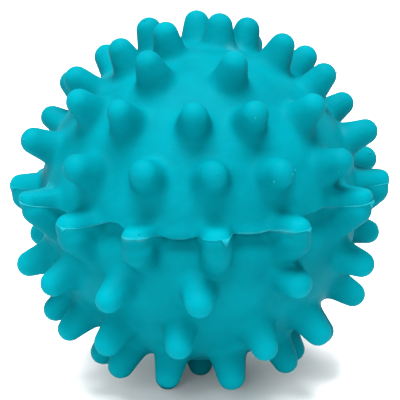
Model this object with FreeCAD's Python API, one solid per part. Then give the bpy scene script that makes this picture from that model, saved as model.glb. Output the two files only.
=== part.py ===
import FreeCAD, Part
import math
import os

# A hollow, soft, spiky massage ball: two half mouldings bonded round the equator, and an air valve.
# The frame: +Z is the polar axis, z = 0 is the surface it rests on, -Y is the front.

# ---------------------------------------------------------------- driving dimensions (mm, degrees)
TIP_RADIUS = 37.5            # ball centre to the end of a spike
UPPER_BODY_RADIUS = 31.0     # outside of the upper half, between the spikes
LOWER_BODY_RADIUS = 30.7     # the lower half is a little smaller, so the seam shows a step
CAVITY_RADIUS = 28.5         # inside of both halves

SPIKE_ROOT = 29.6            # a spike's root plane, inside the wall, from the ball centre
SPIKE_FOOT_RADIUS = 4.3      # outer edge of the flare round a spike's foot
SPIKE_FOOT_SINK = 0.12       # how far the flare's edge dips under the body's surface
SPIKE_NECK_RADIUS = 3.25     # radius where the flare turns into the cone
SPIKE_NECK_RISE = 1.5        # height of that place above the body's surface
SPIKE_CAP_RADIUS = 2.45      # radius of the round tip
FLARE_SAG = 0.25             # how far the flare is hollowed below its chord

# The spikes stand in uneven rows: latitude, then the azimuths of the ones at that latitude.
UPPER_SPIKES = [
    (82.5, [75]),
    (79.0, [180]),
    (74.0, [-103, -37]),
    (73.0, [108]),
    (62.0, [-58, 75]),
    (56.5, [-165, -26, 19, 145]),
    (53.0, [-121, 100]),
    (47.0, [-69]),
    (46.0, [77]),
    (40.0, [-174, -147, -111, -53, 134, 160]),
    (38.0, [-30, -2, 21, 48]),
    (31.0, [107]),
    (26.0, [-111]),
    (24.0, [-72, 86]),
    (20.0, [-156, -132, -40, -17, 4, 26, 51, 132, 156, 180]),
    (12.0, [103]),
]
LOWER_SPIKES = [
    (-12.0, [99]),
    (-14.0, [-106, 31, 63]),
    (-16.0, [-75]),
    (-17.0, [-153, -128, -54, -28, 0, 130, 155]),
    (-22.0, [92]),
    (-30.0, [80]),
    (-34.0, [-77, -8]),
    (-37.0, [-149, -115, -61, -37, 25, 53, 121, 151, 181]),
    (-46.0, [80]),
    (-56.0, [-155, -115, -74, -50, -18, 17, 57, 125, 165]),
    (-58.0, [85]),
    (-75.0, [-135, -45, 45, 135]),
]
# The spikes that the seam crosses: azimuth, latitude.
SEAM_SPIKES = [
    (-161, 3.0),
    (-138, 3.0),
    (-115, 3.0),
    (-93, 5.5),
    (-61, 8.0),
    (-41, 3.0),
    (-18, 2.0),
    (5, 2.0),
    (29, 3.0),
    (57, 8.0),
    (86, 8.0),
    (130, 3.0),
    (153, 3.0),
    (176, 8.0),
]
KEEL_DROP = 7.5              # on the lower half, a shorter spike stands this much lower under each of them
KEEL_TIP_RADIUS = 35.5
BOTTOM_POLE_TIP_RADIUS = 35.9  # the lowest spike is shorter, so the ball stands on the ring round it
REST_FLAT_DEPTH = 0.06       # how far the tips of that ring are flattened where the ball stands on them

VALVE_LATITUDE = -18.0       # the valve is at the back, in the place of a spike
VALVE_AZIMUTH = 181.0

SEAM_GAP = 0.3               # thickness of the bond between the halves
SEAM_HEIGHT = 1.6            # height of the seam above the equator where it crosses a spike
ARCH_RADIUS = 5.0            # the seam rises over an arch between each two of its spikes
ARCH_RISE = 1.2              # how far an arch rises above that height

RECESS_RADIUS = 5.2          # dimple in the outside that takes the plug's head
RECESS_FLOOR = 29.5          # distance of its floor from the ball centre
BOSS_RADIUS = 5.8            # thickened wall round the valve, inside the ball
BOSS_END = 25.0              # distance of the boss's inner end from the ball centre
SLEEVE_RADIUS = 3.5          # outside of the valve sleeve, and the hole it is bonded in
SLEEVE_BORE_RADIUS = 2.0     # the air passage that the plug closes
SLEEVE_FLANGE_RADIUS = 5.4   # flange on the sleeve's inner end
SLEEVE_FLANGE_THICKNESS = 1.2

PLUG_CLEARANCE = 0.05        # radial clearance of the plug's stem in the sleeve
PLUG_STEM_LENGTH = 8.0
PLUG_HEAD_GAP = 0.3          # gap under the seated head
PLUG_HEAD_RADIUS = 4.6
PLUG_HEAD_THICKNESS = 0.95
PLUG_EDGE_ROUND = 0.25
PLUG_NOTCH_WIDTH = 1.4       # notch in the head's edge, to pull the plug out by
PLUG_NOTCH_DEPTH = 1.0

# ---------------------------------------------------------------- derived dimensions
CAP_CENTRE = TIP_RADIUS - SPIKE_CAP_RADIUS
REST_LATITUDE = LOWER_SPIKES[-1][0]
CENTRE_HEIGHT = SPIKE_CAP_RADIUS - CAP_CENTRE * math.sin(math.radians(REST_LATITUDE)) - REST_FLAT_DEPTH
FAR = 2.0 * TIP_RADIUS       # longer than anything in the ball

CENTRE = FreeCAD.Vector(0, 0, 0)
UP = FreeCAD.Vector(0, 0, 1)
SIDEWAYS = FreeCAD.Vector(0, 1, 0)


# ---------------------------------------------------------------- helpers
def direction(latitude, azimuth):
    """Unit vector from the ball centre; azimuth 0 is the front (-Y) and 90 is +X."""
    lat = math.radians(latitude)
    az = math.radians(azimuth)
    return FreeCAD.Vector(math.cos(lat) * math.sin(az), -math.cos(lat) * math.cos(az), math.sin(lat))


def aim(shape, latitude, azimuth):
    """Turn a shape whose axis is +Z so that its axis points that way."""
    turned = shape.copy()
    turned.rotate(CENTRE, SIDEWAYS, 90.0 - latitude)
    turned.rotate(CENTRE, UP, azimuth - 90.0)
    return turned


def axial_cylinder(radius, start, end):
    """Cylinder on the +Z axis between two distances from the ball centre."""
    return Part.makeCylinder(radius, end - start, FreeCAD.Vector(0, 0, start), UP)


# ---------------------------------------------------------------- spikes
def spike(body_radius, tip_radius):
    """One spike about the +Z axis: a flared foot, a slight cone and a round tip."""
    foot_z = math.sqrt(body_radius ** 2 - SPIKE_FOOT_RADIUS ** 2) - SPIKE_FOOT_SINK
    neck_z = body_radius + SPIKE_NECK_RISE
    cap_z = tip_radius - SPIKE_CAP_RADIUS
    neck_reach = math.hypot(SPIKE_NECK_RADIUS, cap_z - neck_z)
    neck_angle = math.atan2(neck_z - cap_z, SPIKE_NECK_RADIUS)
    tangent_angle = neck_angle + math.acos(SPIKE_CAP_RADIUS / neck_reach)

    def on_cap(angle):
        out = SPIKE_CAP_RADIUS * math.cos(angle)
        up = SPIKE_CAP_RADIUS * math.sin(angle)
        return FreeCAD.Vector(out, 0, cap_z + up)

    cap_start = on_cap(tangent_angle)
    cap_middle = on_cap((tangent_angle + math.pi / 2) / 2)
    tip = on_cap(math.pi / 2)
    root = FreeCAD.Vector(0, 0, SPIKE_ROOT)
    root_edge = FreeCAD.Vector(SPIKE_FOOT_RADIUS, 0, SPIKE_ROOT)
    foot = FreeCAD.Vector(SPIKE_FOOT_RADIUS, 0, foot_z)
    neck = FreeCAD.Vector(SPIKE_NECK_RADIUS, 0, neck_z)
    chord = neck - foot
    hollow = (foot + neck) * 0.5 - FreeCAD.Vector(chord.z, 0, -chord.x).normalize() * FLARE_SAG
    edges = [
        Part.LineSegment(root, root_edge).toShape(),
        Part.LineSegment(root_edge, foot).toShape(),
        Part.Arc(foot, hollow, neck).toShape(),
        Part.LineSegment(neck, cap_start).toShape(),
        Part.Arc(cap_start, cap_middle, tip).toShape(),
        Part.LineSegment(tip, root).toShape(),
    ]
    return Part.Face(Part.Wire(edges)).revolve(CENTRE, UP, 360)


def rows_of_spikes(rows, body_radius):
    pattern = spike(body_radius, TIP_RADIUS)
    return [aim(pattern, latitude, azimuth) for latitude, azimuths in rows for azimuth in azimuths]


def seam_spikes(body_radius):
    pattern = spike(body_radius, TIP_RADIUS)
    return [aim(pattern, latitude, azimuth) for azimuth, latitude in SEAM_SPIKES]


def keels(body_radius):
    """Shorter spikes that merge with the seam's spikes from below, into columns."""
    pattern = spike(body_radius, KEEL_TIP_RADIUS)
    return [aim(pattern, latitude - KEEL_DROP, azimuth) for azimuth, latitude in SEAM_SPIKES]


# ---------------------------------------------------------------- the scalloped parting
def below_seam(offset):
    """Everything below the seam, moved up or out by an offset: a flat top with an arch between spikes."""
    slab_height = FAR + SEAM_HEIGHT + offset
    slab = Part.makeBox(2 * FAR, 2 * FAR, slab_height, FreeCAD.Vector(-FAR, -FAR, -FAR))
    axis_height = SEAM_HEIGHT + ARCH_RISE - ARCH_RADIUS
    azimuths = [azimuth for azimuth, latitude in SEAM_SPIKES]
    arches = []
    for azimuth, following in zip(azimuths, azimuths[1:] + [azimuths[0] + 360]):
        outward = direction(0, (azimuth + following) / 2)
        start = outward * (SPIKE_ROOT / 2) + UP * axis_height
        arches.append(Part.makeCylinder(ARCH_RADIUS + offset, TIP_RADIUS, start, outward))
    return slab.multiFuse(arches)


def solid_ball(body_radius, spikes):
    """A full ball with its spikes, before it is hollowed and parted."""
    return Part.makeSphere(body_radius).multiFuse(spikes)


def only_solid(shape):
    """The single solid that a boolean should have left."""
    if len(shape.Solids) != 1:
        raise ValueError("expected one solid, got %d" % len(shape.Solids))
    return shape.Solids[0]


# ---------------------------------------------------------------- pieces, about the ball centre
def upper_half_shell():
    spikes = seam_spikes(UPPER_BODY_RADIUS) + rows_of_spikes(UPPER_SPIKES, UPPER_BODY_RADIUS)
    ball = solid_ball(UPPER_BODY_RADIUS, spikes)
    return only_solid(ball.cut(below_seam(SEAM_GAP / 2)).cut(Part.makeSphere(CAVITY_RADIUS)))


def lower_half_shell():
    spikes = seam_spikes(LOWER_BODY_RADIUS) + keels(LOWER_BODY_RADIUS)
    spikes += rows_of_spikes(LOWER_SPIKES, LOWER_BODY_RADIUS)
    spikes.append(aim(spike(LOWER_BODY_RADIUS, BOTTOM_POLE_TIP_RADIUS), -90.0, 0.0))
    ball = solid_ball(LOWER_BODY_RADIUS, spikes)
    shell = ball.common(below_seam(-SEAM_GAP / 2)).cut(Part.makeSphere(CAVITY_RADIUS))
    shell = shell.fuse(at_valve(axial_cylinder(BOSS_RADIUS, BOSS_END, SPIKE_ROOT)))
    shell = shell.cut(at_valve(axial_cylinder(RECESS_RADIUS, RECESS_FLOOR, FAR)))
    shell = shell.cut(Part.makeBox(2 * FAR, 2 * FAR, FAR, FreeCAD.Vector(-FAR, -FAR, -FAR - CENTRE_HEIGHT)))
    return only_solid(shell.cut(at_valve(axial_cylinder(SLEEVE_RADIUS, 0, FAR))))


def seam_bond():
    ball = solid_ball(LOWER_BODY_RADIUS, seam_spikes(LOWER_BODY_RADIUS))
    band = ball.common(below_seam(SEAM_GAP / 2)).cut(below_seam(-SEAM_GAP / 2))
    return only_solid(band.cut(Part.makeSphere(CAVITY_RADIUS)))


def valve_sleeve():
    flange_end = BOSS_END - SLEEVE_FLANGE_THICKNESS
    tube = axial_cylinder(SLEEVE_RADIUS, flange_end, RECESS_FLOOR)
    flange = axial_cylinder(SLEEVE_FLANGE_RADIUS, flange_end, BOSS_END)
    sleeve = tube.fuse(flange).removeSplitter()
    return only_solid(at_valve(sleeve.cut(axial_cylinder(SLEEVE_BORE_RADIUS, 0, FAR))))


def valve_plug():
    seat = RECESS_FLOOR + PLUG_HEAD_GAP
    head = axial_cylinder(PLUG_HEAD_RADIUS, seat, seat + PLUG_HEAD_THICKNESS)
    head = head.makeFillet(PLUG_EDGE_ROUND, head.Edges)
    stem_end = seat - PLUG_STEM_LENGTH
    stem = axial_cylinder(SLEEVE_BORE_RADIUS - PLUG_CLEARANCE, stem_end, seat + PLUG_EDGE_ROUND)
    inner_end = [edge for edge in stem.Edges if edge.BoundBox.ZMax < seat - PLUG_STEM_LENGTH / 2]
    stem = stem.makeFillet(2 * PLUG_EDGE_ROUND, inner_end)
    notch_start = PLUG_HEAD_RADIUS - PLUG_NOTCH_DEPTH
    notch_corner = FreeCAD.Vector(notch_start, -PLUG_NOTCH_WIDTH / 2, seat - PLUG_HEAD_GAP)
    notch = Part.makeBox(FAR, PLUG_NOTCH_WIDTH, FAR, notch_corner)
    return only_solid(at_valve(head.fuse(stem).cut(notch)))


def at_valve(shape):
    """Turn a shape made about +Z onto the valve's axis."""
    return aim(shape, VALVE_LATITUDE, VALVE_AZIMUTH)


PIECES = [upper_half_shell, lower_half_shell, seam_bond, valve_sleeve, valve_plug]

os.makedirs("parts", exist_ok=True)
for piece in PIECES:
    shape = piece()
    shape.translate(UP * CENTRE_HEIGHT)
    shape.exportStep("parts/%s.step" % piece.__name__)
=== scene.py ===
import math
import bmesh
import bpy
import numpy as np
from mathutils import Matrix, Vector


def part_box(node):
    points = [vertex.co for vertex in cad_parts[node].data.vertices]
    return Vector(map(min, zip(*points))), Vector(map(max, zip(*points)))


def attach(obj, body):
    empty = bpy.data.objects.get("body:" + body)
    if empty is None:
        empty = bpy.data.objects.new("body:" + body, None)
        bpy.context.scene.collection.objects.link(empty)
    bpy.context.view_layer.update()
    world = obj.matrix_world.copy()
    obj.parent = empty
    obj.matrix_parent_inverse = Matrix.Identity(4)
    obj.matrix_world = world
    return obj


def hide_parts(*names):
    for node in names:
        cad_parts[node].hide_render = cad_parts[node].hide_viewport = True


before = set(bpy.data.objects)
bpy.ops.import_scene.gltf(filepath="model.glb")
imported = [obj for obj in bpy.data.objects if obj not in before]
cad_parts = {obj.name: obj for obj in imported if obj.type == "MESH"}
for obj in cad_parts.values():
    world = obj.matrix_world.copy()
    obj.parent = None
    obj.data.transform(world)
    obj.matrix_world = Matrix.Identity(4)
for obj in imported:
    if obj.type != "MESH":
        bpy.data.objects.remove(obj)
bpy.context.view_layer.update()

# ---------------------------------------------------------------- driving dimensions (mm, degrees)
MM = 0.001
TIP_RADIUS = 37.5
UPPER_BODY_RADIUS = 31.0
LOWER_BODY_RADIUS = 30.7
CAVITY_RADIUS = 28.5

# The spikes stand in uneven rows: latitude, then the azimuths of the ones at that latitude.
UPPER_SPIKES = [
    (82.5, [75]),
    (79.0, [180]),
    (74.0, [-103, -37]),
    (73.0, [108]),
    (62.0, [-58, 75]),
    (56.5, [-165, -26, 19, 145]),
    (53.0, [-121, 100]),
    (47.0, [-69]),
    (46.0, [77]),
    (40.0, [-174, -147, -111, -53, 134, 160]),
    (38.0, [-30, -2, 21, 48]),
    (31.0, [107]),
    (26.0, [-111]),
    (24.0, [-72, 86]),
    (20.0, [-156, -132, -40, -17, 4, 26, 51, 132, 156, 180]),
    (12.0, [103]),
]
LOWER_SPIKES = [
    (-12.0, [99]),
    (-14.0, [-106, 31, 63]),
    (-16.0, [-75]),
    (-17.0, [-153, -128, -54, -28, 0, 130, 155]),
    (-22.0, [92]),
    (-30.0, [80]),
    (-34.0, [-77, -8]),
    (-37.0, [-149, -115, -61, -37, 25, 53, 121, 151, 181]),
    (-46.0, [80]),
    (-56.0, [-155, -115, -74, -50, -18, 17, 57, 125, 165]),
    (-58.0, [85]),
    (-75.0, [-135, -45, 45, 135]),
]
# The spikes that the seam crosses: azimuth, latitude.
SEAM_SPIKES = [
    (-161, 3.0),
    (-138, 3.0),
    (-115, 3.0),
    (-93, 5.5),
    (-61, 8.0),
    (-41, 3.0),
    (-18, 2.0),
    (5, 2.0),
    (29, 3.0),
    (57, 8.0),
    (86, 8.0),
    (130, 3.0),
    (153, 3.0),
    (176, 8.0),
]
SEAM_AZIMUTHS = [azimuth for azimuth, latitude in SEAM_SPIKES]
KEEL_FOOT_DROP = 9.0         # on the lower half, a column under each of them starts this much lower
KEEL_TIP_DROP = 3.5
KEEL_TIP_RADIUS = 37.0
KEEL_RADIUS = 2.7
BOTTOM_POLE_TIP_RADIUS = 35.9
REST_LATITUDE = LOWER_SPIKES[-1][0]
VALVE_LATITUDE, VALVE_AZIMUTH = -18.0, 181.0

CAP_RADIUS = 2.45            # round tip of a spike
FOOT_RADIUS = 3.4            # the same spike where it leaves the body
FOOT_DEPTH = 0.6             # how far its foot circle lies under the body's surface
FILLET = 2.4                 # reach of the blend between spike and body
ARCH_RISE = 2.4              # the seam rises to about this between its spikes
SPIKE_HALF_ANGLE = 4.0       # the seam is level over this much to each side of a spike's axis
ARCH_SHOULDER = 6.0          # angle over which it then rises or dips
SPIKE_SEAM_BASE = 0.8        # height of the seam on the spikes that it crosses, and its rise per degree
SPIKE_SEAM_RISE = 0.35
# Some of the seam's spikes end in a flat lid: azimuth, then the lid's height above the seam.
LIDS = {-138: 1.9, -61: 2.6, -41: 2.4, -18: 1.8, 5: 1.9, 29: 2.5, 57: 3.0, 153: 2.0}
NO_LID = 3.2                 # the same height on the others, where it hardly shows
LID_ROUND = 1.0              # reach of the rounding at a lid's edge
SEAM_GAP = 0.14
LEDGE = 0.05                 # the lower half's seam spikes are thinner by this
DENT_DEPTH = 0.04            # small dents in the spikes
SKIN_DENT_DEPTH = 0.012      # the same everywhere else
BODY_WAVE = 0.06             # how far the body is from round
RADIUS_SPREAD = 0.03         # how much the spikes' radii differ, as a share
LENGTH_SPREAD = 0.12         # how much shorter than the longest they are
BEND = 0.22                  # how far a tip stands off its axis
BEND_LIMIT = 1.5
REST_BEND = 0.05             # the same for the spikes that the ball rests on
SEAM_BEND = 0.12
KEEL_BEND = 0.08
SPIKE_BLEND = 0.8            # reach of the blend between two spikes
RECESS_BLEND = 0.5           # rounding of the dimple's edge
TUCK = 1.55                  # how far the lower half draws in just under the seam
TUCK_HEIGHT = 2.8            # and how far below the seam that reaches
RIM = 0.35                   # how far the upper half bulges just above the seam
RIM_HEIGHT = 1.2
ARCH_SPREAD = 1.2            # how much the arches between the seam's spikes rise or dip
SEAM_WAVE = 0.12             # long and short unevenness of the seam
SEAM_JITTER = 0.05

# Where torn skin stands out of the seam: azimuth, half width, height.
FLASH = [(-92, 4, 0.2), (-60, 5, 0.35), (9, 4, 0.25), (24, 8, 0.3), (57, 6, 0.45), (86, 4, 0.3)]
# Where a flake of it hangs down: azimuth, half width, length.
FLAKES = [(7, 1.3, 1.7), (-91, 1.5, 0.8), (58, 2.0, 1.8), (-40, 1.0, 0.6), (31, 1.2, 0.5)]
NIBS = 70                    # specks on the spikes' tips
# Painted highlight on the spikes' tips, standing in for the light from the front: how strong, from 0 to 1,
# at heights in mm above the ball's centre.
UPPER_TIP_HIGHLIGHT = ([4, 7], [0.6, 0.12])
LOWER_TIP_HIGHLIGHT = ([-10, -5], [0.7, 0.05])

RECESS_RADIUS = 5.2
RECESS_FLOOR = 29.5
BOSS_RADIUS = 5.8
BOSS_END = 25.0
SLEEVE_RADIUS = 3.5

SPHERE_LEVEL = 8
EVEN_ROUNDS = 12
SEARCH_START = 39.0          # the skin is searched for inwards from here
SEARCH_STEPS = 70
SEARCH_STRIDE = 0.8
SEAM_SAMPLES = 14401
CUT_TOLERANCE = 2e-3
FAR = 2 * TIP_RADIUS         # a lid so high cuts nothing
REST_FLAT_DEPTH = 0.06       # how far the resting spikes are flattened
REST_DEPTH = CAP_RADIUS - (TIP_RADIUS - CAP_RADIUS) * math.sin(math.radians(REST_LATITUDE)) - REST_FLAT_DEPTH
CENTRE = Vector((0, 0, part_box("lower_half_shell")[0][2] + REST_DEPTH * MM))
RANDOM = np.random.default_rng(7)


# ---------------------------------------------------------------- small helpers
def direction(latitude, azimuth):
    """Unit vectors; azimuth 0 is the front (-Y) and 90 is +X. Takes degrees, as numbers or arrays."""
    lat, az = np.radians(latitude), np.radians(azimuth)
    flat = np.cos(lat)
    return np.stack(np.broadcast_arrays(flat * np.sin(az), -flat * np.cos(az), np.sin(lat)), -1)


def angles(vectors):
    """Latitude and azimuth, in degrees, of unit vectors."""
    latitude = np.degrees(np.arcsin(np.clip(vectors[:, 2], -1, 1)))
    return latitude, np.degrees(np.arctan2(vectors[:, 0], -vectors[:, 1]))


def unit(vectors):
    return vectors / np.linalg.norm(vectors, axis=-1, keepdims=True)


def dot(a, b):
    return np.einsum("ij,ij->i", a, b)


def smooth_min(a, b, reach):
    """The lower of two distances, blended where they differ by less than reach."""
    blend = np.maximum(reach - np.abs(a - b), 0) / reach
    return np.minimum(a, b) - blend ** 3 * reach / 6


def seam_height(spike_latitude):
    """Height of the seam where it crosses a spike."""
    return SPIKE_SEAM_BASE + SPIKE_SEAM_RISE * spike_latitude


def make_mesh(name, points, faces):
    """A smooth mesh object from points in mm about the ball centre."""
    mesh = bpy.data.meshes.new(name)
    mesh.from_pydata((np.asarray(points) * MM + np.array(CENTRE)).tolist(), [], faces)
    mesh.update()
    mesh.shade_smooth()
    piece = bpy.data.objects.new(name, mesh)
    bpy.context.collection.objects.link(piece)
    return piece


def wave_noise(points, scale, seed, octaves=3):
    """Smooth noise of about -1 to 1, from waves in random directions; scale is radians per unit."""
    rng = np.random.default_rng(seed)
    total = np.zeros(len(points))
    for octave in range(octaves):
        for wave in range(6):
            heading = unit(rng.normal(size=3))
            start = rng.uniform(0, 2 * math.pi)
            total += np.sin(points @ heading * scale * 2 ** octave + start) / 2 ** octave
    return total / 4.0


# ---------------------------------------------------------------- spikes as tapered capsules
class Spikes:
    """Feet, tips and radii of a set of spikes, in mm about the ball centre."""

    def __init__(self, body_radius):
        self.body_radius = body_radius
        self.random = RANDOM
        self.feet, self.tips, self.foot_radii, self.tip_radii, self.lids = [], [], [], [], []

    def add(self, foot_direction, tip_direction, tip_radius=TIP_RADIUS, thinner=0.0, radius=None, bend=BEND,
            lid=FAR):
        cap = (radius or CAP_RADIUS) * (1 + self.random.normal() * RADIUS_SPREAD) - thinner
        foot = (radius or FOOT_RADIUS) * (1 + self.random.normal() * RADIUS_SPREAD) - thinner
        shorter = abs(self.random.normal()) * LENGTH_SPREAD + thinner
        off = np.clip(self.random.normal(size=3), -BEND_LIMIT, BEND_LIMIT) * bend
        self.feet.append(foot_direction * (self.body_radius - FOOT_DEPTH))
        self.tips.append(tip_direction * (tip_radius - cap - shorter) + off)
        self.foot_radii.append(foot)
        self.tip_radii.append(cap)
        self.lids.append(lid)

    def add_rows(self, rows):
        for latitude, azimuths in rows:
            for azimuth in azimuths:
                outward = direction(latitude, azimuth)
                self.add(outward, outward, bend=REST_BEND if latitude == REST_LATITUDE else BEND)

    def add_seam_row(self, thinner=0.0):
        """The spikes that both halves share, so they are uneven in the same way on both."""
        self.random = np.random.default_rng(11)
        for azimuth, latitude in SEAM_SPIKES:
            outward = direction(latitude, azimuth)
            lid = seam_height(latitude) + LIDS.get(azimuth, NO_LID)
            self.add(outward, outward, TIP_RADIUS - 0.1, thinner, bend=SEAM_BEND, lid=lid)
        self.random = RANDOM

    def add_keels(self):
        for azimuth, latitude in SEAM_SPIKES:
            foot = direction(latitude - KEEL_FOOT_DROP, azimuth)
            tip = direction(latitude - KEEL_TIP_DROP, azimuth)
            self.add(foot, tip, KEEL_TIP_RADIUS, radius=KEEL_RADIUS, bend=KEEL_BEND)

    def close(self):
        """Turn the lists into arrays once every spike is in."""
        for field in ("feet", "tips", "foot_radii", "tip_radii", "lids"):
            setattr(self, field, np.array(getattr(self, field)))
        self.outward = unit(self.tips)

    def nearest(self, outward, how_many=4):
        """Indices of the spikes nearest to each direction."""
        found = []
        for part in np.array_split(outward, max(1, len(outward) // 20000)):
            found.append(np.argpartition(-(part @ self.outward.T), how_many, axis=1)[:, :how_many])
        return np.concatenate(found)

    def distance(self, points, near):
        """Distance from each point to the surface of its near spikes."""
        closest = None
        for column in near.T:
            foot, axis = self.feet[column], self.tips[column] - self.feet[column]
            foot_radius, tip_radius = self.foot_radii[column], self.tip_radii[column]
            shrink = foot_radius - tip_radius
            length2 = dot(axis, axis)
            slant2 = length2 - shrink ** 2
            offset = points - foot
            along = dot(offset, axis)
            past = along - length2
            side = offset * length2[:, None] - axis * along[:, None]
            side2 = dot(side, side)
            along2, past2 = along ** 2 * length2, past ** 2 * length2
            limit = np.sign(shrink) * shrink ** 2 * side2
            at_tip = np.sqrt(side2 + past2) / length2 - tip_radius
            at_foot = np.sqrt(side2 + along2) / length2 - foot_radius
            on_cone = (np.sqrt(side2 * slant2 / length2) + along * shrink) / length2 - foot_radius
            distance = np.where(np.sign(along) * slant2 * along2 < limit, at_foot, on_cone)
            distance = np.where(np.sign(past) * slant2 * past2 > limit, at_tip, distance)
            distance = -smooth_min(-distance, self.lids[column] - points[:, 2], LID_ROUND)
            closest = distance if closest is None else smooth_min(closest, distance, SPIKE_BLEND)
        return closest


# ---------------------------------------------------------------- the outer skin of one half
VALVE_AXIS = direction(VALVE_LATITUDE, VALVE_AZIMUTH)


def recess_distance(points):
    """Distance to the round dimple that takes the plug's head."""
    height = points @ VALVE_AXIS
    across = np.linalg.norm(points - height[:, None] * VALVE_AXIS, axis=1)
    return np.maximum(across - RECESS_RADIUS, RECESS_FLOOR - height)


class Half:
    """The shape of one half of the ball as a distance function."""

    def __init__(self, spikes, body_radius, is_lower):
        self.spikes, self.body_radius, self.is_lower = spikes, body_radius, is_lower

    def distance(self, points, near):
        reach = np.linalg.norm(points, axis=1)
        body = reach - self.body_radius - BODY_WAVE * wave_noise(points, 0.12, 3, 2)
        above_seam = points[:, 2] - ARCH_RISE / 2
        if self.is_lower:
            body += TUCK * np.exp(-(above_seam / TUCK_HEIGHT) ** 2)
        else:
            body -= RIM * np.exp(-(above_seam / RIM_HEIGHT) ** 2)
        skin = smooth_min(body, self.spikes.distance(points, near), FILLET)
        if self.is_lower:
            skin = -smooth_min(-skin, recess_distance(points), RECESS_BLEND)
        return skin

    def reach_along(self, outward, near):
        """How far out the skin is in each direction."""
        reach = np.full(len(outward), SEARCH_START)
        for step in range(SEARCH_STEPS):
            reach -= SEARCH_STRIDE * self.distance(outward * reach[:, None], near)
        return reach

    def slope(self, points, near, step=0.01):
        """(distance, outward normal) at points near the skin."""
        here = self.distance(points, near)
        normal = np.empty_like(points)
        for axis in range(3):
            moved = points.copy()
            moved[:, axis] += step
            normal[:, axis] = (self.distance(moved, near) - here) / step
        return here, unit(normal)


def seam_latitude(azimuth):
    """The parting: level on each seam spike, an arch or a dip of uneven height between each two."""
    around = direction(0.0, azimuth)
    on_spikes = [seam_height(latitude) for _, latitude in SEAM_SPIKES]
    height = np.interp(azimuth, SEAM_AZIMUTHS, on_spikes, period=360)
    rises = np.random.default_rng(5).permutation(np.linspace(-ARCH_SPREAD, ARCH_SPREAD, len(SEAM_SPIKES)))
    for spike, following, rise in zip(SEAM_AZIMUTHS, SEAM_AZIMUTHS[1:] + [SEAM_AZIMUTHS[0] + 360], rises):
        half_gap = (following - spike) / 2
        from_middle = np.abs((azimuth - spike - half_gap + 180) % 360 - 180)
        inside = np.clip((half_gap - SPIKE_HALF_ANGLE - from_middle) / ARCH_SHOULDER, 0, 1)
        height += rise * inside ** 2 * (3 - 2 * inside)
    height += SEAM_WAVE * wave_noise(around, 20.0, 22) + SEAM_JITTER * wave_noise(around, 90.0, 23)
    return np.degrees(np.arcsin(height / LOWER_BODY_RADIUS))


def half_sphere():
    """Points and triangles of the upper half of a unit sphere, with its edge exactly on z = 0."""
    ball = bmesh.new()
    bmesh.ops.create_icosphere(ball, subdivisions=SPHERE_LEVEL, radius=1.0)
    everything = ball.verts[:] + ball.edges[:] + ball.faces[:]
    bmesh.ops.bisect_plane(ball, geom=everything, dist=CUT_TOLERANCE, plane_co=(0, 0, 0),
                           plane_no=(0, 0, 1), clear_inner=True)
    bmesh.ops.triangulate(ball, faces=ball.faces[:])
    mesh = bpy.data.meshes.new("half_sphere")
    ball.to_mesh(mesh)
    ball.free()
    points = np.empty(len(mesh.vertices) * 3)
    mesh.vertices.foreach_get("co", points)
    triangles = np.empty(len(mesh.polygons) * 3, int)
    mesh.polygons.foreach_get("vertices", triangles)
    bpy.data.meshes.remove(mesh)
    return unit(points.reshape(-1, 3)), triangles.reshape(-1, 3)


def edge_loop(points, triangles):
    """The open edge's points, in order of azimuth, and all the edges as pairs of points."""
    sides = [triangles[:, [0, 1]], triangles[:, [1, 2]], triangles[:, [2, 0]]]
    pairs, uses = np.unique(np.sort(np.concatenate(sides), axis=1), axis=0, return_counts=True)
    loop = np.unique(pairs[uses == 1])
    return loop[np.argsort(angles(unit(points[loop]))[1])], pairs


def even_out(half, points, near, pairs, fixed, rounds):
    """Spread the points evenly over the skin, and keep them on it."""
    neighbours = np.bincount(pairs.ravel(), minlength=len(points))
    for turn in range(rounds):
        total = np.stack([
            np.bincount(pairs[:, 0], points[pairs[:, 1], axis], len(points))
            + np.bincount(pairs[:, 1], points[pairs[:, 0], axis], len(points)) for axis in range(3)], -1)
        move = total / neighbours[:, None] - points
        move[fixed] = 0
        distance, normal = half.slope(points, near)
        move -= normal * dot(move, normal)[:, None]
        points = points + 0.6 * move
        distance, normal = half.slope(points, near)
        distance[fixed] = 0
        points -= np.clip(distance, -0.5, 0.5)[:, None] * normal
    return points


def skin(half, side, gap):
    """Outer skin of a half: side is 1 for the upper one and -1 for the lower one."""
    outward, triangles = half_sphere()
    loop, pairs = edge_loop(outward, triangles)
    latitude, azimuth = angles(outward)
    lift = (1 - latitude / 90) ** 4

    # along the seam, the points keep equal steps of length, not of angle
    fine = np.linspace(-180, 180, SEAM_SAMPLES)
    seam = direction(seam_latitude(fine), fine)
    reach = half.reach_along(seam, half.spikes.nearest(seam))
    steps = np.linalg.norm(np.diff(seam * reach[:, None], axis=0), axis=1)
    share = np.concatenate([[0], np.cumsum(steps)]) / steps.sum()
    even = np.interp((azimuth + 180) / 360, share, fine)
    azimuth = azimuth + (even - azimuth) * np.exp(-latitude / 4.0)

    edge = seam_latitude(azimuth) + side * np.degrees(gap / 2 / half.body_radius)
    latitude = side * latitude + lift * edge
    outward = direction(latitude, azimuth)
    near = half.spikes.nearest(outward)
    points = outward * half.reach_along(outward, near)[:, None]
    points = even_out(half, points, near, pairs, loop, EVEN_ROUNDS)
    outward = unit(points)
    near = half.spikes.nearest(outward)
    on_spike = np.clip((np.linalg.norm(points, axis=1) - half.body_radius) / 4, 0, 1)
    dents = SKIN_DENT_DEPTH * wave_noise(points, 1.6, 51)
    dents += DENT_DEPTH * on_spike * wave_noise(points, 0.9, 52)
    dents[loop] = 0
    points += dents[:, None] * half.slope(points, near)[1]
    points[:, 2] = np.maximum(points[:, 2], -REST_DEPTH)
    if side < 0:
        triangles = triangles[:, ::-1]
    return points, triangles, loop


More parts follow.
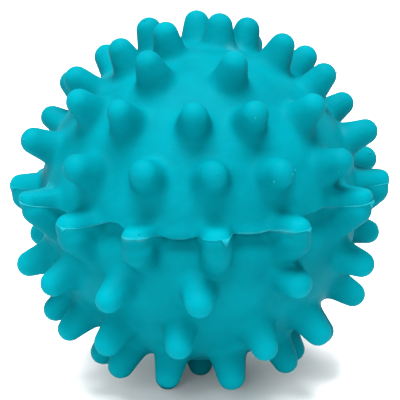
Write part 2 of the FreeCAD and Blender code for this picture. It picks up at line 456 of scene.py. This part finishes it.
def chalkiness(half, points):
    """0 to 1: pale dust left in patches round the feet of the spikes, and in thin lines along the seam."""
    near = half.spikes.nearest(unit(points))
    from_spikes = half.spikes.distance(points, near)
    from_body = np.linalg.norm(points, axis=1) - half.body_radius
    crevice = np.exp(-((from_spikes - 0.2) / 0.7) ** 2) * np.exp(-((from_body - 0.3) / 0.8) ** 2)
    patches = np.clip(wave_noise(points, 0.35, 41) * 1.6 - 0.8, 0, 1)
    worn_and_highlit = np.clip(0.5 + wave_noise(points, 3.0, 42), 0, 1)
    latitude, azimuth = angles(unit(points))
    at_the_sides = np.clip((np.abs(azimuth) - 45) / 25, 0, 1)
    height = LOWER_BODY_RADIUS * np.sin(np.radians(latitude - seam_latitude(azimuth)))
    along_seam = np.exp(-(height / 0.2) ** 2) * np.clip(wave_noise(points, 0.5, 43), 0, 1)
    return np.clip(0.3 * crevice * patches * worn_and_highlit * at_the_sides + 0.4 * along_seam * worn_and_highlit, 0, 1)


def closed_shell(name, half, side, gap):
    """A half moulding: outer skin, rim and cavity wall, as one closed mesh."""
    points, triangles, loop = skin(half, side, gap)
    chalk = chalkiness(half, points)
    faces = triangles.tolist()
    points = list(points)
    rim = np.array([points[i] for i in loop])
    rim_latitude, rim_azimuth = angles(unit(rim))
    previous = loop.tolist()
    rings = 10
    for ring in range(rings):
        climb = (ring / rings) ** 1.3
        latitude = rim_latitude + (side * 90 - rim_latitude) * climb
        start = len(points)
        points.extend(direction(latitude, rim_azimuth) * CAVITY_RADIUS)
        current = list(range(start, start + len(loop)))
        faces.extend(quads(previous, current, side))
        previous = current
    points.append(np.array([0, 0, side * CAVITY_RADIUS]))
    pole = len(points) - 1
    for i in range(len(loop)):
        a, b = previous[i], previous[(i + 1) % len(loop)]
        faces.append([a, b, pole] if side < 0 else [b, a, pole])
    piece = make_mesh(name, points, faces)
    ends = np.empty(len(piece.data.edges) * 2, int)
    piece.data.edges.foreach_get("vertices", ends)
    on_edge = np.isin(ends.reshape(-1, 2), loop).all(axis=1)
    piece.data.attributes.new("sharp_edge", "BOOLEAN", "EDGE").data.foreach_set("value", on_edge)
    # Painted highlight: the further a point stands out from the body, the paler it gets, and more so on the
    # lower half, in place of the light falling on the tips.
    above_body = np.linalg.norm(points, axis=1) - half.body_radius
    relief = np.clip(above_body / (TIP_RADIUS - half.body_radius), 0, 1)
    highlight_heights, painted_tip_highlight = LOWER_TIP_HIGHLIGHT if half.is_lower else UPPER_TIP_HIGHLIGHT
    add_attribute(piece, "painted_tip_highlight", relief * np.interp(np.asarray(points)[:, 2], highlight_heights, painted_tip_highlight))
    add_attribute(piece, "chalk", np.pad(chalk, (0, len(points) - len(chalk))))
    return piece


def add_attribute(piece, name, values):
    """Store one number per point on the mesh, for its material to read."""
    piece.data.attributes.new(name, "FLOAT", "POINT").data.foreach_set("value", values)


def quads(outer, inner, side):
    """Faces between two rings that run with rising azimuth."""
    count = len(outer)
    found = []
    for i in range(count):
        j = (i + 1) % count
        face = [outer[i], inner[i], inner[j], outer[j]]
        found.append(face if side > 0 else face[::-1])
    return found


# ---------------------------------------------------------------- pieces
def valve_cylinder(name, radius, start, end, sides=96):
    """A plain closed cylinder on the valve's axis, used only to cut or to join."""
    tool = bmesh.new()
    turn = Vector((0, 0, 1)).rotation_difference(Vector(VALVE_AXIS)).to_matrix().to_4x4()
    place = Matrix.Translation(CENTRE + Vector(VALVE_AXIS) * (start + end) / 2 * MM) @ turn
    bmesh.ops.create_cone(tool, cap_ends=True, segments=sides, radius1=radius * MM, radius2=radius * MM,
                          depth=(end - start) * MM, matrix=place)
    mesh = bpy.data.meshes.new(name)
    tool.to_mesh(mesh)
    tool.free()
    piece = bpy.data.objects.new(name, mesh)
    bpy.context.collection.objects.link(piece)
    return piece


def boolean(piece, tool, operation):
    """Join or cut a mesh for good, and drop the tool."""
    step = piece.modifiers.new(operation.lower(), "BOOLEAN")
    step.object, step.operation, step.solver = tool, operation, "MANIFOLD"
    bpy.context.view_layer.objects.active = piece
    with bpy.context.temp_override(object=piece, active_object=piece, selected_objects=[piece]):
        bpy.ops.object.modifier_apply(modifier=step.name)
    mesh = tool.data
    bpy.data.objects.remove(tool)
    bpy.data.meshes.remove(mesh)


def upper_half():
    spikes = Spikes(UPPER_BODY_RADIUS)
    spikes.add_seam_row()
    spikes.add_rows(UPPER_SPIKES)
    spikes.close()
    half = Half(spikes, UPPER_BODY_RADIUS, False)
    return closed_shell("upper_half", half, 1, SEAM_GAP), half


def lower_half():
    spikes = Spikes(LOWER_BODY_RADIUS)
    spikes.add_seam_row(thinner=LEDGE)
    spikes.add_keels()
    spikes.add(direction(-90.0, 0.0), direction(-90.0, 0.0), BOTTOM_POLE_TIP_RADIUS, bend=REST_BEND)
    spikes.add_rows(LOWER_SPIKES)
    spikes.close()
    half = Half(spikes, LOWER_BODY_RADIUS, True)
    piece = closed_shell("lower_half", half, -1, SEAM_GAP)
    boolean(piece, valve_cylinder("boss", BOSS_RADIUS, BOSS_END, CAVITY_RADIUS + 0.6), "UNION")
    boolean(piece, valve_cylinder("valve_hole", SLEEVE_RADIUS, BOSS_END - 5, TIP_RADIUS), "DIFFERENCE")
    return piece, half


def tent(azimuth, places):
    """Peaks at some azimuths: each place is (azimuth, half width, height)."""
    total = np.zeros(len(azimuth))
    for middle, half_width, height in places:
        away = np.abs((azimuth - middle + 180) % 360 - 180)
        total = np.maximum(total, height * np.clip(1 - away / half_width, 0, 1))
    return total


def seam_flash(upper, lower):
    """The bond between the halves, with the thin torn skin that was squeezed out of it."""
    azimuth = np.linspace(-180, 180, 3601)[:-1]
    latitude = seam_latitude(azimuth)
    seam = direction(latitude, azimuth)
    lower_reach = lower.reach_along(seam, lower.spikes.nearest(seam))
    upper_reach = upper.reach_along(seam, upper.spikes.nearest(seam))
    torn = np.clip(0.5 + 0.7 * wave_noise(seam, 90.0, 32), 0, 1)
    squeezed = np.clip(wave_noise(seam, 9.0, 31) * 1.6 - 0.9, 0, 1) * 0.2 + tent(azimuth, FLASH)
    flush = np.maximum(lower_reach, upper_reach)
    on_body = np.clip(upper_reach - lower_reach, 0, 0.8)
    edge = flush - 0.4 * on_body + squeezed * torn
    drop = tent(azimuth, FLAKES) * (0.7 + 0.3 * torn)
    hanging = direction(latitude - np.degrees((drop + 0.08) / edge), azimuth)
    hanging_reach = lower.reach_along(hanging, lower.spikes.nearest(hanging)) + 0.12
    rings = [
        direction(latitude - 0.3, azimuth) * (CAVITY_RADIUS + 0.2),
        direction(latitude + 0.3, azimuth) * (CAVITY_RADIUS + 0.2),
        direction(latitude + np.degrees(0.08 / edge), azimuth) * edge[:, None],
        hanging * np.where(drop > 0.02, hanging_reach, edge)[:, None],
    ]
    faces = []
    count = len(azimuth)
    for ring in range(4):
        for i in range(count):
            j = (i + 1) % count
            a, b = ring * count, (ring + 1) % 4 * count
            faces.append([a + i, b + i, b + j, a + j])
    points = list(np.concatenate(rings))
    add_nibs(points, faces, upper)
    return make_mesh("seam_flash", points, faces)


def add_nibs(points, faces, half):
    """Pale specks, mostly on the ends of the spikes: squashed, uneven little lumps."""
    random = np.random.default_rng(17)
    lump = bmesh.new()
    bmesh.ops.create_icosphere(lump, subdivisions=2, radius=1.0)
    lump.verts.ensure_lookup_table()
    ball = np.array([vertex.co for vertex in lump.verts])
    triangles = [[vertex.index for vertex in face.verts] for face in lump.faces]
    lump.free()
    for nib in range(NIBS):
        tip = half.spikes.outward[random.integers(len(half.spikes.outward))]
        outward = unit(tip + random.normal(size=3) * 0.045)[None]
        at = outward[0] * half.reach_along(outward, half.spikes.nearest(outward))[0]
        radius = random.uniform(0.08, 0.2)
        shape = ball * (1 + 0.3 * wave_noise(ball, 2.5, nib)[:, None]) * random.uniform(0.5, 1.3, size=3)
        start = len(points)
        points.extend(at + shape * radius)
        faces.extend([[start + i for i in triangle] for triangle in triangles])


# ---------------------------------------------------------------- materials
VINYL_SPECULAR = 0.004       # soft vinyl hardly shines
MOTTLE_SCALE = 130.0
GRAIN_SCALE = 900.0
GRAIN_STRENGTH = 0.4
GRAIN_DEPTH = 0.2 * MM


def material(name, colour, roughness):
    made = bpy.data.materials.new(name)
    made.use_nodes = True
    shader = made.node_tree.nodes["Principled BSDF"]
    shader.inputs["Base Color"].default_value = colour
    shader.inputs["Roughness"].default_value = roughness
    shader.inputs["Specular IOR Level"].default_value = VINYL_SPECULAR
    return made, made.node_tree.nodes, made.node_tree.links, shader


def noise(nodes, links, vector, scale, detail):
    texture = nodes.new("ShaderNodeTexNoise")
    texture.inputs["Scale"].default_value = scale
    texture.inputs["Detail"].default_value = detail
    links.new(vector, texture.inputs["Vector"])
    return texture.outputs["Fac"]


def ramp(nodes, links, factor, stops):
    node = nodes.new("ShaderNodeValToRGB")
    ends = node.color_ramp.elements
    for end, (position, colour) in zip(ends, stops):
        end.position, end.color = position, colour
    links.new(factor, node.inputs["Fac"])
    return node.outputs["Color"]


def attribute(nodes, name):
    """The value of one of the mesh's attributes, which is 0 on a mesh that lacks it."""
    node = nodes.new("ShaderNodeAttribute")
    node.attribute_name = name
    return node.outputs["Fac"]


def mix(nodes, links, factor, first, second):
    """A colour between a linked one and a plain one."""
    node = nodes.new("ShaderNodeMix")
    node.data_type = "RGBA"
    links.new(factor, node.inputs[0])
    links.new(first, node.inputs[6])
    node.inputs[7].default_value = second
    return node.outputs[2]


def vinyl_material(name, dark, light, chalk, roughness=0.5):
    """Mottled soft vinyl with a fine grain, with a painted highlight that makes the spikes' tips paler, and
    paler where there is chalk.
    """
    made, nodes, links, shader = material(name, light, roughness)
    place = nodes.new("ShaderNodeTexCoord").outputs["Object"]
    mottle = ramp(nodes, links, noise(nodes, links, place, MOTTLE_SCALE, 6.0), [(0.35, dark), (0.65, light)])
    # Painted highlight: the tips' colour is the plain colour made paler, and it is mixed in as far as the
    # painted tip highlight reaches.
    tips = tuple(channel * TIP_HIGHLIGHT_GAIN for channel in light[:3]) + (1,)
    worn_and_highlit = mix(nodes, links, attribute(nodes, "painted_tip_highlight"), mottle, tips)
    links.new(mix(nodes, links, attribute(nodes, "chalk"), worn_and_highlit, chalk), shader.inputs["Base Color"])
    bump = nodes.new("ShaderNodeBump")
    bump.inputs["Strength"].default_value = GRAIN_STRENGTH
    bump.inputs["Distance"].default_value = GRAIN_DEPTH
    links.new(noise(nodes, links, place, GRAIN_SCALE, 4.0), bump.inputs["Height"])
    links.new(bump.outputs["Normal"], shader.inputs["Normal"])
    return made


def paint(piece, made):
    piece.data.materials.clear()
    piece.data.materials.append(made)


# ---------------------------------------------------------------- assembly
TIP_HIGHLIGHT_GAIN = 1.35             # painted highlight: the spikes' tips are this much lighter
CHALK = (0.07, 0.20, 0.23, 1)
VINYL = vinyl_material("vinyl", (0.0, 0.086, 0.107, 1), (0.0, 0.105, 0.130, 1), CHALK)
BOND = vinyl_material("bond", (0.0, 0.125, 0.155, 1), (0.008, 0.165, 0.2, 1), CHALK)
VALVE = vinyl_material("valve", (0.0, 0.075, 0.092, 1), (0.0, 0.09, 0.11, 1), CHALK)
PLUG = vinyl_material("plug", (0.125, 0.155, 0.16, 1), (0.16, 0.185, 0.19, 1), CHALK)

upper_piece, upper = upper_half()
lower_piece, lower = lower_half()
flash_piece = seam_flash(upper, lower)
for piece, made, node, slot in [(upper_piece, VINYL, "upper_half_shell", "vinyl"),
                                (lower_piece, VINYL, "lower_half_shell", "vinyl"),
                                (flash_piece, BOND, "seam_bond", "bond")]:
    paint(piece, made)
    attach(piece, "ball")
    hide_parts(node)
for node, made in (("valve_sleeve", VALVE), ("valve_plug", PLUG)):
    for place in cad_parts[node].material_slots:
        place.material = made


# ---------------------------------------------------------------- floor, light and camera
FLOOR_HALF_SIZE = 1.8        # metres, so large that its far edge is out of sight
FLOOR_COLOUR = (0.80, 0.80, 0.80, 1)
FLOOR_ROUGHNESS = 0.9
WORLD_COLOUR = (1, 1, 1, 1)
WORLD_STRENGTH = 1.0


def floor():
    mesh = bpy.data.meshes.new("floor")
    signs = [(-1, -1), (1, -1), (1, 1), (-1, 1)]
    mesh.from_pydata([(x * FLOOR_HALF_SIZE, y * FLOOR_HALF_SIZE, 0) for x, y in signs], [], [(0, 1, 2, 3)])
    piece = bpy.data.objects.new("floor", mesh)
    bpy.context.collection.objects.link(piece)
    paint(piece, material("floor", FLOOR_COLOUR, FLOOR_ROUGHNESS)[0])


def area_light(name, place, size, power):
    lamp = bpy.data.lights.new(name, "AREA")
    lamp.size, lamp.energy = size, power
    holder = bpy.data.objects.new(name, lamp)
    holder.location = place
    holder.rotation_euler = (CENTRE - Vector(place)).to_track_quat("-Z", "Y").to_euler()
    bpy.context.collection.objects.link(holder)


floor()
area_light("top", (-0.05, -0.26, 1.2), 0.8, 62.0)
area_light("front", (-0.30, -1.0, 0.40), 0.6, 10.0)
world = bpy.data.worlds.new("world")
world.use_nodes = True
world.node_tree.nodes["Background"].inputs["Color"].default_value = WORLD_COLOUR
world.node_tree.nodes["Background"].inputs["Strength"].default_value = WORLD_STRENGTH
bpy.context.scene.world = world
bpy.context.scene.view_settings.view_transform = "Standard"

CAMERA_DISTANCE = 0.247      # from the ball centre
CAMERA_ELEVATION = 13.0
CAMERA_ROLL = 0.55
CAMERA_LENS = 113.3
CAMERA_SHIFT = (0.0025, 0.006)
camera = bpy.data.objects.new("camera", bpy.data.cameras.new("camera"))
camera.data.lens = CAMERA_LENS
camera.data.clip_start = 0.01
camera.data.shift_x, camera.data.shift_y = CAMERA_SHIFT
camera.location = CENTRE + Vector(direction(CAMERA_ELEVATION, 0.0)) * CAMERA_DISTANCE
level = (CENTRE - camera.location).to_track_quat("-Z", "Y").to_matrix()
roll = Matrix.Rotation(math.radians(-CAMERA_ROLL), 3, "Z")
camera.rotation_euler = (level @ roll).to_euler()
bpy.context.collection.objects.link(camera)
bpy.context.scene.camera = camera
